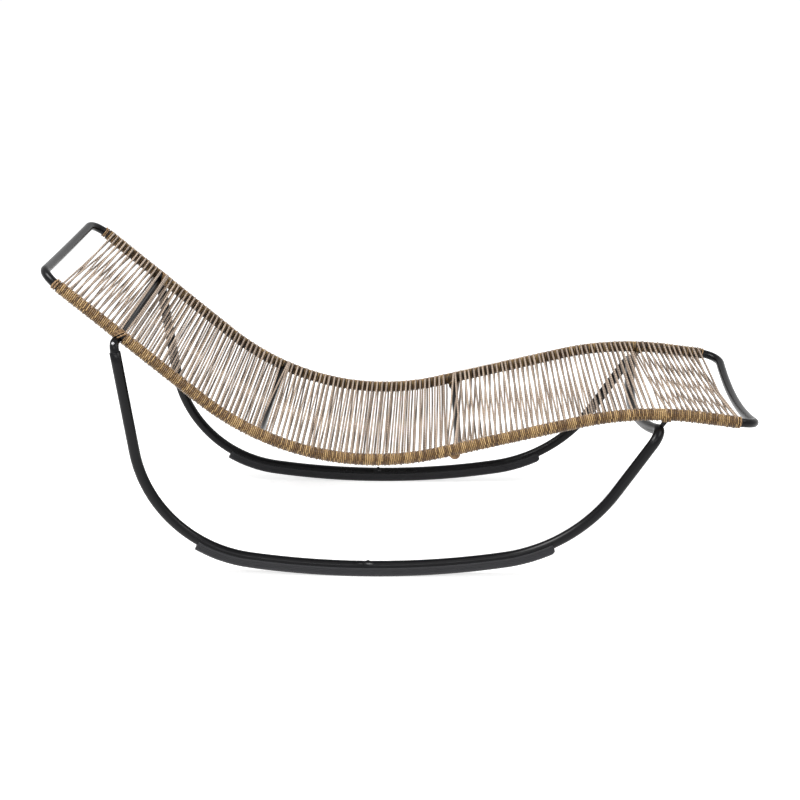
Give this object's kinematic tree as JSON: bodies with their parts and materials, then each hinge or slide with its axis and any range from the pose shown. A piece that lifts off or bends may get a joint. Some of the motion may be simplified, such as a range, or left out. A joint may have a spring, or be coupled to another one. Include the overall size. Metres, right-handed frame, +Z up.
{
  "type": "rocking chaise lounge",
  "caption": "Rocking lounger: bent tube frame wound with cord, a cord lattice seat, and a tubular rocker base with floor runners.",
  "frame": {"origin": "the floor point midway between the two lines where the rocker runners touch the floor at rest", "axes": "+X runs along the lounger from the head end to the foot end, +Y to the sitter's left, +Z up"},
  "size_m": [1.7328, 0.702, 0.7577],
  "materials": {
    "black_tube": "smooth semi-gloss black paint",
    "brown_cord": "golden brown round plastic cord, slightly shiny",
    "charcoal_runner": "dull charcoal plastic with faint lengthwise ridges",
    "screw_steel": "darkened steel pan heads"
  },
  "bodies": {
    "root": {"seat_frame_left": "black_tube", "seat_frame_right": "black_tube", "lumbar_stretcher": "black_tube", "centre_stretcher": "black_tube", "centre_knots": "brown_cord", "head_crossbar": "black_tube", "head_rocker_left": "black_tube", "head_rocker_right": "black_tube", "foot_frame": "black_tube", "foot_post_left": "black_tube", "foot_post_right": "black_tube", "joint_sleeves": "black_tube", "base_screws": "screw_steel", "elbow_screws": "screw_steel", "runner_left": "charcoal_runner", "runner_right": "charcoal_runner", "rail_winding_left": "brown_cord", "rail_winding_right": "brown_cord", "headrest_strands": "brown_cord", "back_strands": "brown_cord", "seat_strands": "brown_cord", "thigh_strands": "brown_cord", "calf_strands": "brown_cord"}
  },
  "joints": []
}
